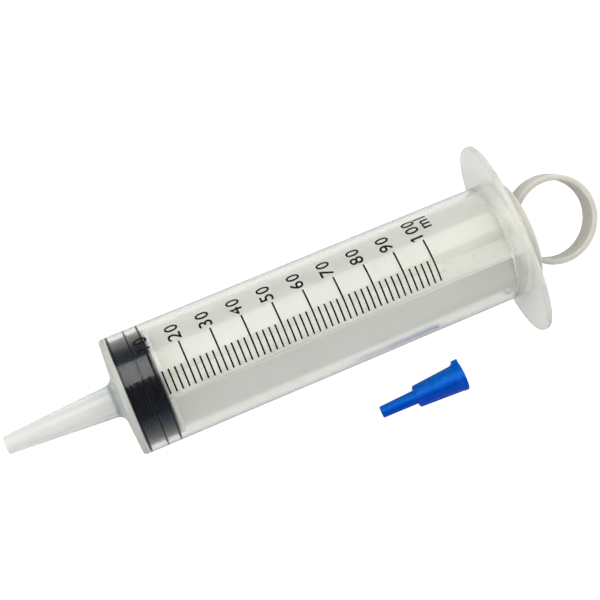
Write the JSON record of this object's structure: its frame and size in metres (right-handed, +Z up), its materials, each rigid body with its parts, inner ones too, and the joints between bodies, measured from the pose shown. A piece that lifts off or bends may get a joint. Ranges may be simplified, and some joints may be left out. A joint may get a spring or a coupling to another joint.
{
  "type": "irrigation syringe",
  "caption": "Irrigation syringe with a clear barrel, catheter nozzle, oval finger flange, black stopper, ribbed plunger with a thumb ring, and a loose blue tip adapter.",
  "frame": {"origin": "centre of the nozzle's open end, on the syringe's axis", "axes": "+X along the axis from the nozzle to the thumb ring, +Y along one finger wing, +Z up as the syringe lies with its wings level"},
  "size_m": [0.201, 0.0721, 0.0388],
  "materials": {
    "clear_plastic": "smooth translucent polypropylene",
    "ink": "printed black ink",
    "stopper_rubber": "smooth black rubber with a film of silicone oil",
    "milky_plastic": "milky translucent polypropylene",
    "blue_plastic": "smooth moulded blue plastic"
  },
  "bodies": {
    "barrel": {"barrel": "clear_plastic", "scale_lines": "ink"},
    "stopper": {"stopper": "stopper_rubber"},
    "plunger": {"plunger": "milky_plastic"},
    "adapter": {"tip_adapter": "blue_plastic"}
  },
  "joints": [
    {"name": "stopper_slide", "type": "slide", "parent": "barrel", "child": "stopper", "axis": [1, 0, 0], "range_m": [0, 0.1137]},
    {"name": "plunger_turn", "type": "hinge", "parent": "stopper", "child": "plunger", "pos_m": [0.0462, 0, 0], "axis": [1, 0, 0], "continuous": true},
    {"name": "adapter_lift", "type": "slide", "parent": "barrel", "child": "adapter", "axis": [0, 0, 1], "range_m": [0, 0.05]}
  ]
}
